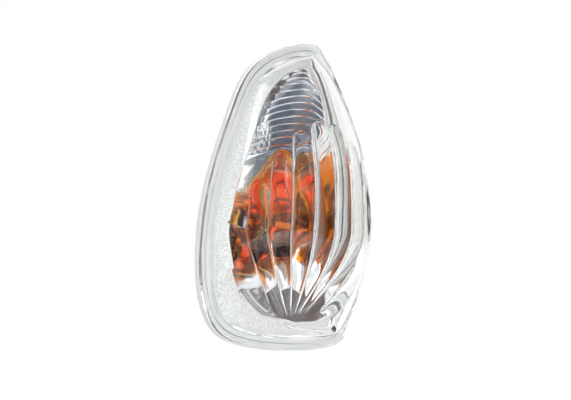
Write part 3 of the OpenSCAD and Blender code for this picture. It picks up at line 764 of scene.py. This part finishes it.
def build_housing(material):
    """Housing: a grooved flange, a skirt, a body that follows the bowl, and its bosses and neck."""
    v = eased_rows(HOUSE_ROWS, HOUSE_CROWD)
    f = np.linspace(0, 1, HOUSE_COLUMNS)
    outer = border_at(house_skin(HOUSE_OUT, 0, v, f), HOUSE_SKIRT)
    inner = border_at(house_skin(HOUSE_IN, HOUSE_WALL, v, f), HOUSE_SKIRT - HOUSE_WALL)
    body = shell([grid_faces(outer), grid_faces(flange_rings(v), wrap=True), grid_faces(inner)])
    made = piece_from("grey_housing", [body], material, ["housing"])
    cut_round(made, NECK_HOLE_R, NECK_HOLE_LOW, NECK_HOLE_HIGH)
    pin_y = float(house_profile(PIN_AT[1], 0))
    join(made, [
        neck_shell(),
        boss(FIXING_AT, FIXING_R, HOUSE_LOW - HOUSE_WALL, FIXING_END, bore=FIXING_BORE),
        boss(PIN_AT, PIN_PAD_R, pin_y - PIN_PAD_IN, pin_y + PIN_PAD_OUT),
        boss(PIN_AT, PIN_R, pin_y, PIN_END, fillet=PIN_ROUND),
        boss(VENT_AT, VENT_R, HOUSE_BACK - VENT_IN, HOUSE_BACK),
        boss(SCREW_AT, SCREW_R, SCREW_SEAT_Y - SCREW_FLOOR, SCREW_SEAT_Y + SCREW_RIM,
             bore=(SCREW_BORE_R, SCREW_SEAT_Y))])
    return made


# Bulb.

# Tip of the glass, how round its end is, the wedge that sits in the holder, and the glass wall.
BULB_TIP = 31.3
BULB_END = 0.95
WEDGE_IN = 6.5
WEDGE_W = 9.5
WEDGE_T = 2.1
WEDGE_TOP = 9
GLASS_T = 0.9
HOLLOW_S = 6.2

# Where the wedge swells to the round bulb, and how: its thickness leads, and its corners ease away.
SWELL_S = 2.4
SWELL_OVER = 5.2
SWELL_LEAD = 0.8
PINCH = 0.4
ROUND_POWER = 2
CORNER_POWER = 4

# Coil between the leads: its size, how far it passes them, its bow, its place and its wire.
FILAMENT_S = 17.0
LEAD_GAP = 5.0
COIL_PAST = 0.6
COIL_BOW = 0.9
COIL_UP = 0.4
COIL_R = 0.42
COIL_POINTS = 16
WIRE_R = 0.09
WIRE_TURNS = 8


def bulb_sections(low, inset):
    """Half widths and squareness of the glass along its axis: a flat wedge that swells to a bulb."""
    tip = BULB_TIP - inset
    r = BULB_R - inset
    dome = r * BULB_END
    s = np.concatenate([np.linspace(low, WEDGE_TOP, 44)[:-1],
                        np.linspace(WEDGE_TOP, tip - dome, 12)[:-1],
                        tip - dome + dome * np.sin(np.linspace(0, np.pi / 2, 22))])
    swell = smooth((s - SWELL_S - inset) / SWELL_OVER)
    half_w = WEDGE_W / 2 - inset
    half_t = WEDGE_T / 2 - inset * PINCH
    wide = half_w + (r - half_w) * swell
    thick = half_t + (r - half_t) * swell ** SWELL_LEAD
    top = np.sqrt(np.clip(1 - np.clip((s - tip + dome) / dome, 0, 1) ** 2, 0, None))
    return s, wide * top, thick * top, ROUND_POWER + CORNER_POWER * (1 - swell)


def bulb_surface(low, inset):
    """Surface of the glass: superellipses, nearly square on the wedge and round above."""
    s, wide, thick, power = bulb_sections(low, inset)
    angle = np.arange(TURNS) * 2 * np.pi / TURNS
    c, n = np.cos(angle)[None, :], np.sin(angle)[None, :]
    power = power[:, None]
    x = wide[:, None] * np.sign(c) * np.abs(c) ** (2 / power)
    y = thick[:, None] * np.sign(n) * np.abs(n) ** (2 / power)
    return grid_faces(on_bulb(x, y, s[:, None]), wrap=True, caps=True)


def build_bulb(material):
    """Amber glass: the outer surface down to the wedge, and the hollow inside the round part."""
    outer = shell([bulb_surface(-WEDGE_IN, 0)])
    hollow = shell([bulb_surface(HOLLOW_S, GLASS_T)], inward=True)
    return piece_from("amber_bulb", [outer, hollow], material, ["bulb_glass"], sharp=50)


def tube(path, radius, turns):
    """Closed tube of one radius along a path of points, its ring carried square to the path."""
    path = np.asarray(path, float)
    along = np.gradient(path, axis=0)
    along /= np.linalg.norm(along, axis=1, keepdims=True)
    up = np.where(np.abs(along[:, 2:]) < 0.9, np.array([[0, 0, 1.0]]), np.array([[0, 1.0, 0]]))
    side = np.cross(up, along)
    side /= np.linalg.norm(side, axis=1, keepdims=True)
    up = np.cross(along, side)
    angle = np.arange(turns) * 2 * np.pi / turns
    points = path[:, None] + radius * (side[:, None] * np.cos(angle)[None, :, None]
                                       + up[:, None] * np.sin(angle)[None, :, None])
    return grid_faces(points, wrap=True, caps=True)


def build_filament(sizes, material):
    """Coil between the leads: a helix that bows a little away from the wedge."""
    turns = sizes.coil_turns
    t = np.linspace(0, 1, turns * COIL_POINTS)
    x = (t - 0.5) * (LEAD_GAP + COIL_PAST)
    bow = COIL_BOW * (1 - (2 * t - 1) ** 2)
    angle = t * turns * 2 * np.pi
    coil = on_bulb(x, COIL_R * np.cos(angle), FILAMENT_S + COIL_UP + bow + COIL_R * np.sin(angle))
    wire = shell([tube(coil, WIRE_R, WIRE_TURNS)])
    return piece_from("filament_coil", [wire], material, ["bulb_filament"], sharp=80)


# Materials.

# Roughness of the etched satin, of the mirror and of their cloudy patches, and the painted shade
# that darkens the land's colour in the pits of its grain.
SATIN_ROUGH = 0.42
MIRROR_ROUGH = 0.05
CLOUD_ROUGH = 0.08
CLOUD_SIZE = 9 * MM
PIT_FROM = 0.42
PIT_TO = 0.6
PAINTED_PIT_SHADE = 0.76
ETCH_DEPTH = 0.25 * MM

# Flow marks of a moulding: their width, and how far they shift its colour and its roughness.
FLOW_SIZE = 14 * MM
FLOW_SHADE = 0.06
FLOW_ROUGH = 0.06

# Drawing marks of bare metal: their depth, and the share by which they shift its roughness.
DRAWN_DEPTH = 0.01 * MM
DRAWN_ROUGH = 0.3


def add(tree, kind, values=None, links=None, **settings):
    """Adds a shader node, with its settings, socket values and links."""
    made = tree.nodes.new("ShaderNode" + kind)
    for key, value in settings.items():
        setattr(made, key, value)
    for key, value in (values or {}).items():
        made.inputs[key].default_value = value
    for key, source in (links or {}).items():
        tree.links.new(source, made.inputs[key])
    return made


def new_material(name):
    """Empty material and its node tree."""
    made = bpy.data.materials.new(name)
    made.use_nodes = True
    made.node_tree.nodes.clear()
    return made, made.node_tree


def show(tree, shader):
    """Ends a material's tree with the shader that it shows."""
    add(tree, "OutputMaterial", None, {"Surface": shader.outputs[0]})


def solid(colour):
    """Colour with full opacity."""
    return (*colour, 1)


def bump_from(tree, height, distance):
    """Normal bent by a height socket over a distance in metres."""
    bump = add(tree, "Bump", {"Distance": distance}, {"Height": height})
    return bump.outputs["Normal"]


def noise_at(tree, size, detail):
    """Noise on object coordinates whose lumps are about size wide."""
    where = add(tree, "TexCoord").outputs["Object"]
    noise = add(tree, "TexNoise", {"Scale": 1 / size, "Detail": detail}, {"Vector": where})
    return noise.outputs["Fac"]


def clear_wall(name, colour, ior, wave, height):
    """Clear glossy wall whose skin waves a little, by a height over the width of a wave.

    It doesn't shade what is inside, but lets the light through with its own tint.
    """
    made, tree = new_material(name)
    normal = bump_from(tree, noise_at(tree, wave, 1.0), height)
    glossy = add(tree, "BsdfPrincipled", {
        "Base Color": solid(colour), "Roughness": 0.0, "IOR": ior, "Transmission Weight": 1.0},
        {"Normal": normal})
    through = add(tree, "BsdfTransparent", {"Color": solid(colour)})
    path = add(tree, "LightPath")
    show(tree, add(tree, "MixShader", None, {
        0: path.outputs["Is Shadow Ray"], 1: glossy.outputs[0], 2: through.outputs[0]}))
    return made


def acrylic(colour):
    """Clear acrylic, injection moulded: very clear and glossy, with a faint waviness in its skin."""
    return clear_wall("clear_acrylic", colour, ior=1.49, wave=6 * MM, height=0.05 * MM)


def amber_glass(colour):
    """Amber lamp glass, blown and pinched: clear, deep orange where walls overlap, faintly uneven."""
    return clear_wall("amber_lamp_glass", colour, ior=1.5, wave=3.5 * MM, height=0.08 * MM)


def metallised(land, bowl, grain):
    """Vacuum-metallised plastic: mirror bright in the bowl, and satin on the land's etched grain, with
    painted shade in its pits.
    """
    made, tree = new_material("metallised_plastic")
    share = add(tree, "Attribute", attribute_name="bowl_share").outputs["Fac"]
    lumps = noise_at(tree, grain, 3.0)
    cloud = noise_at(tree, CLOUD_SIZE, 2.0)
    # Painted shade: the land's colour is darkened where the grain's noise is low, in the pits of its
    # bump.
    pit_shade_mask = add(tree, "MapRange", {"From Min": PIT_FROM, "From Max": PIT_TO}, {"Value": lumps})
    etched = add(tree, "Mix", {"A": solid([c * PAINTED_PIT_SHADE for c in land]), "B": solid(land)},
                 {"Factor": pit_shade_mask.outputs[0]}, data_type="RGBA")
    colour = add(tree, "Mix", {"B": solid(bowl)}, {"Factor": share, "A": etched.outputs["Result"]},
                 data_type="RGBA")
    dull = add(tree, "MapRange", {"To Min": SATIN_ROUGH, "To Max": MIRROR_ROUGH}, {"Value": share})
    rough = add(tree, "Math", {1: CLOUD_ROUGH}, {0: cloud}, operation="MULTIPLY")
    rough = add(tree, "Math", None, {0: rough.outputs[0], 1: dull.outputs[0]}, operation="ADD")
    flat = add(tree, "Math", {0: 1.0}, {1: share}, operation="SUBTRACT")
    height = add(tree, "Math", None, {0: lumps, 1: flat.outputs[0]}, operation="MULTIPLY")
    surface = add(tree, "BsdfPrincipled", {"Metallic": 1.0}, {
        "Base Color": colour.outputs["Result"], "Roughness": rough.outputs[0],
        "Normal": bump_from(tree, height.outputs[0], ETCH_DEPTH)})
    show(tree, surface)
    return made


def moulded(name, colour, rough, texture, depth):
    """Moulded plastic or rubber: one colour with faint flow marks, and the grain its mould left."""
    made, tree = new_material(name)
    grain = noise_at(tree, texture, 3.0)
    flow = noise_at(tree, FLOW_SIZE, 3.0)
    dark = solid([c * (1 - FLOW_SHADE) for c in colour])
    light = solid([min(1, c * (1 + FLOW_SHADE)) for c in colour])
    shade = add(tree, "Mix", {"A": dark, "B": light}, {"Factor": flow}, data_type="RGBA")
    dull = add(tree, "MapRange", {"To Min": rough - FLOW_ROUGH, "To Max": rough + FLOW_ROUGH},
               {"Value": grain})
    surface = add(tree, "BsdfPrincipled", None, {
        "Base Color": shade.outputs["Result"], "Roughness": dull.outputs[0],
        "Normal": bump_from(tree, grain, depth)})
    show(tree, surface)
    return made


def bare_metal(name, colour, rough, marks):
    """Drawn or stamped metal: bright, with fine marks of a given width that spread its highlights."""
    made, tree = new_material(name)
    drawing = noise_at(tree, marks, 4.0)
    dull = add(tree, "MapRange", {"To Min": rough * (1 - DRAWN_ROUGH),
                                  "To Max": rough * (1 + DRAWN_ROUGH)}, {"Value": drawing})
    surface = add(tree, "BsdfPrincipled", {"Base Color": solid(colour), "Metallic": 1.0}, {
        "Roughness": dull.outputs[0], "Normal": bump_from(tree, drawing, DRAWN_DEPTH)})
    show(tree, surface)
    return made


def dress(node, material):
    """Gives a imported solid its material."""
    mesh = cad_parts[node].data
    mesh.materials.clear()
    mesh.materials.append(material)


# Operators.


class LAMP_OT_lens(bpy.types.Operator):
    """Build the clear fluted lens"""
    bl_idname = "lamp.lens"
    bl_label = "Lens"

    def execute(self, context):
        build_lens(context.scene.lamp_sizes, acrylic(context.scene.lamp_colours.lens))
        return {"FINISHED"}


class LAMP_OT_reflector(bpy.types.Operator):
    """Build the stepped reflector with its satin land"""
    bl_idname = "lamp.reflector"
    bl_label = "Reflector"

    def execute(self, context):
        sizes, colours = context.scene.lamp_sizes, context.scene.lamp_colours
        build_reflector(sizes, metallised(colours.land, colours.bowl, sizes.grain))
        return {"FINISHED"}


class LAMP_OT_housing(bpy.types.Operator):
    """Build the housing and dress the seal, the vent and the screw"""
    bl_idname = "lamp.housing"
    bl_label = "Housing and seals"

    def execute(self, context):
        build_housing(moulded("grey_abs", context.scene.lamp_colours.housing, rough=0.45,
                              texture=0.4 * MM, depth=0.03 * MM))
        dress("lens_seal", moulded("sealant", linear("#d2d3d1"), rough=0.3,
                                   texture=1.5 * MM, depth=0.05 * MM))
        dress("vent_patch", moulded("membrane", linear("#f0f0ec"), rough=0.7,
                                    texture=0.25 * MM, depth=0.04 * MM))
        dress("reflector_screw", bare_metal("zinc_steel", linear("#b9bab6"), rough=0.3, marks=0.3 * MM))
        return {"FINISHED"}


class LAMP_OT_bulb(bpy.types.Operator):
    """Build the amber bulb with its coil, leads and bead"""
    bl_idname = "lamp.bulb"
    bl_label = "Bulb"

    def execute(self, context):
        sizes, colours = context.scene.lamp_sizes, context.scene.lamp_colours
        build_bulb(amber_glass(colours.amber))
        wire = bare_metal("nickel_wire", linear("#a9a8a2"), rough=0.25, marks=0.2 * MM)
        build_filament(sizes, bare_metal("tungsten", linear("#77777a"), rough=0.35, marks=0.2 * MM))
        dress("bulb_lead_left", wire)
        dress("bulb_lead_right", wire)
        dress("bulb_bead", moulded("glass_bead", linear("#cfd3ce"), rough=0.12,
                                   texture=1 * MM, depth=0.02 * MM))
        return {"FINISHED"}


class LAMP_OT_holder(bpy.types.Operator):
    """Dress the bulb holder, its seal and its contacts"""
    bl_idname = "lamp.holder"
    bl_label = "Bulb holder"

    def execute(self, context):
        dress("bulb_holder", moulded("black_nylon", context.scene.lamp_colours.holder, rough=0.42,
                                     texture=0.35 * MM, depth=0.03 * MM))
        dress("holder_seal", moulded("black_rubber", linear("#161616"), rough=0.6,
                                     texture=0.3 * MM, depth=0.03 * MM))
        brass = bare_metal("brass_strip", linear("#d9c27a"), rough=0.25, marks=0.4 * MM)
        dress("contact_left", brass)
        dress("contact_right", brass)
        return {"FINISHED"}


class LAMP_OT_stage(bpy.types.Operator):
    """Set the camera, the lights, the pale floor and the backdrop"""
    bl_idname = "lamp.stage"
    bl_label = "Stage"

    def execute(self, context):
        set_camera(context.scene)
        set_world(context.scene)
        set_floor()
        set_lights()
        context.scene.view_settings.view_transform = "Standard"
        pass_light(context.scene)
        return {"FINISHED"}


# Stage.

# Camera: one pixel of the photograph at the lamp, the angle and distance, and the width and the aim.
PIXEL = 0.309 * MM
CAMERA_AZIMUTH = math.radians(-33)
CAMERA_ELEVATION = math.radians(-6)
CAMERA_AWAY = 0.55
CAMERA_SENSOR = 36
PHOTO_WIDTH = 571 * PIXEL
AIM_RIGHT = 15.5 * PIXEL
AIM_UP = -5 * PIXEL

# Even light of the studio, the floor's height, size, grey and glow, and where cloths and flags are.
WORLD_LIGHT = 0.8
FLOOR_Z = -0.11
FLOOR_SIZE = 6
FLOOR_GREY = 0.85
FLOOR_GLOW = 0.35
CLOTH_UP = 0.002
FLAG_AWAY = 0.8


def towards(azimuth, elevation):
    """Unit vector from the lamp to a place round it."""
    return Vector((math.sin(azimuth) * math.cos(elevation), -math.cos(azimuth) * math.cos(elevation),
                   math.sin(elevation)))


def set_camera(scene):
    """Camera at the photograph's angle: left of the lamp and a little below it."""
    data = bpy.data.cameras.new("photo_camera")
    data.sensor_width = CAMERA_SENSOR
    data.lens = CAMERA_SENSOR * CAMERA_AWAY / PHOTO_WIDTH
    data.clip_start = 0.01
    made = placed("photo_camera", data)
    back = towards(CAMERA_AZIMUTH, CAMERA_ELEVATION)
    turn = (-back).to_track_quat("-Z", "Y")
    made.rotation_euler = turn.to_euler()
    made.location = back * CAMERA_AWAY + turn @ Vector((AIM_RIGHT, AIM_UP, 0))
    scene.camera = made


def pass_light(scene):
    """Lets a ray through as many clear walls as lie one behind the other here, twice over."""
    scene.cycles.max_bounces = 32
    scene.cycles.transmission_bounces = 28
    scene.cycles.glossy_bounces = 8


def seen_white(tree):
    """1 for what the camera sees, also in reflections and through glass, and 0 for lighting."""
    path = add(tree, "LightPath")
    seen = path.outputs["Is Camera Ray"]
    for kind in ("Is Glossy Ray", "Is Transmission Ray"):
        either = add(tree, "Math", None, {0: seen, 1: path.outputs[kind]}, operation="MAXIMUM")
        seen = either.outputs[0]
    return seen


def set_world(scene):
    """White to look at, and a softer even light."""
    world = bpy.data.worlds.new("studio")
    scene.world = world
    world.use_nodes = True
    tree = world.node_tree
    tree.nodes.clear()
    seen = seen_white(tree)
    strength = add(tree, "MapRange", {"To Min": WORLD_LIGHT, "To Max": 1.0}, {"Value": seen})
    light = add(tree, "Background", {"Color": (1, 1, 1, 1)}, {"Strength": strength.outputs[0]})
    add(tree, "OutputWorld", None, {"Surface": light.outputs[0]})


def flat_card(name, centre, right, up, width, height, material):
    """Flat card of the stage, given by its centre and the directions of its two sides."""
    corners = [centre + right * (a * width / 2) + up * (b * height / 2)
               for a, b in ((-1, -1), (1, -1), (1, 1), (-1, 1))]
    mesh = bpy.data.meshes.new(name)
    mesh.from_pydata(corners, [], [(0, 1, 2, 3)])
    mesh.materials.append(material)
    made = placed(name, mesh)
    return made


def set_floor():
    """Pale floor under the lamp, which hangs above it."""
    made, tree = new_material("pale_floor")
    grey = solid([FLOOR_GREY] * 3)
    surface = add(tree, "BsdfPrincipled", {"Base Color": grey, "Roughness": 0.9})
    strength = add(tree, "Math", {1: FLOOR_GLOW}, {0: seen_white(tree)}, operation="MULTIPLY")
    glow = add(tree, "Emission", {"Color": (1, 1, 1, 1)}, {"Strength": strength.outputs[0]})
    show(tree, add(tree, "AddShader", None, {0: surface.outputs[0], 1: glow.outputs[0]}))
    flat_card("studio_floor", Vector((0, 0, FLOOR_Z)), Vector((1, 0, 0)), Vector((0, 1, 0)),
              FLOOR_SIZE, FLOOR_SIZE, made)


# Name, colour, azimuth, distance, width and depth of each cloth on the floor.
FLOOR_FLAGS = (
    ("cloth_left", "#747e8c", -52, 0.47, 0.22, 0.56),
    ("cloth_front", "#827d79", -12, 0.2, 0.14, 0.12))
# Name, azimuth, elevation, distance, width, height and power of each light.
LIGHTS = (
    ("key_light", -60, 45, 0.9, 0.5, 0.5, 2.0),
    ("fill_light", 50, 15, 1.0, 0.6, 0.6, 0.6),
    ("land_light", -19, -5, 0.9, 0.24, 0.34, 5.0),
    ("rear_light", 160, 35, 0.9, 0.5, 0.5, 0.6))
# Name, colour, azimuth, elevation, width and height of each flag.
FLAGS = (
    ("flag_slate", "#4a5566", -34, 4, 0.96, 0.58),
    ("flag_low", "#3c1f17", 28, 12, 0.85, 0.5),
    ("flag_side", "#39424f", 62, -4, 0.1, 1.2),
    ("flag_top", "#9b9ca2", -22, 36, 0.9, 0.4))


def hang_flag(name, colour, centre, right, up, width, height):
    """Studio flag of one even colour: seen in metal and through glass, and never by the camera."""
    cloth, tree = new_material(name)
    show(tree, add(tree, "Emission", {"Color": solid(linear(colour))}))
    made = flat_card(name, centre, right, up, width, height, cloth)
    made.visible_camera = False
    made.visible_diffuse = False
    made.visible_shadow = False


def set_lights():
    """Soft key from the upper left, a fill from the right, and flags that draw the bright metal."""
    for name, colour, azimuth, away, width, depth in FLOOR_FLAGS:
        out = towards(math.radians(azimuth), 0)
        centre = out * away + Vector((0, 0, FLOOR_Z + CLOTH_UP))
        hang_flag(name, colour, centre, out.cross(Vector((0, 0, 1))), out, width, depth)
    for name, azimuth, elevation, away, width, height, power in LIGHTS:
        data = bpy.data.lights.new(name, "AREA")
        data.shape = "RECTANGLE"
        data.size = width
        data.size_y = height
        data.energy = power
        made = placed(name, data)
        place = towards(math.radians(azimuth), math.radians(elevation))
        made.location = place * away
        made.rotation_euler = (-place).to_track_quat("-Z", "Y").to_euler()
    for name, colour, azimuth, elevation, width, height in FLAGS:
        back = towards(math.radians(azimuth), math.radians(elevation))
        turn = back.to_track_quat("Z", "Y")
        hang_flag(name, colour, back * FLAG_AWAY, turn @ Vector((1, 0, 0)), turn @ Vector((0, 1, 0)),
                  width, height)


# Panel and its classes.


class LAMP_PT_build(bpy.types.Panel):
    """Lists the steps that build the lamp"""
    bl_idname = "LAMP_PT_build"
    bl_label = "Turn signal lamp"
    bl_space_type = "VIEW_3D"
    bl_region_type = "UI"
    bl_category = "Lamp"

    def draw(self, context):
        layout = self.layout
        for group in (context.scene.lamp_sizes, context.scene.lamp_colours):
            box = layout.box()
            for name in group.__annotations__:
                box.prop(group, name)
        for operator in OPERATORS:
            layout.operator(operator.bl_idname)


OPERATORS = (LAMP_OT_lens, LAMP_OT_reflector, LAMP_OT_housing, LAMP_OT_bulb, LAMP_OT_holder,
             LAMP_OT_stage)
CLASSES = (LampSizes, LampColours, *OPERATORS, LAMP_PT_build)


def register():
    """Adds the lamp's properties, operators and panel."""
    for made in CLASSES:
        bpy.utils.register_class(made)
    bpy.types.Scene.lamp_sizes = PointerProperty(type=LampSizes)
    bpy.types.Scene.lamp_colours = PointerProperty(type=LampColours)


def unregister():
    """Removes what register added."""
    del bpy.types.Scene.lamp_colours
    del bpy.types.Scene.lamp_sizes
    for made in reversed(CLASSES):
        bpy.utils.unregister_class(made)


def main():
    """Registers the classes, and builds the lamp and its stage."""
    register()
    bpy.ops.lamp.lens()
    bpy.ops.lamp.reflector()
    bpy.ops.lamp.housing()
    bpy.ops.lamp.bulb()
    bpy.ops.lamp.holder()
    bpy.ops.lamp.stage()


if __name__ == "__main__":
    main()
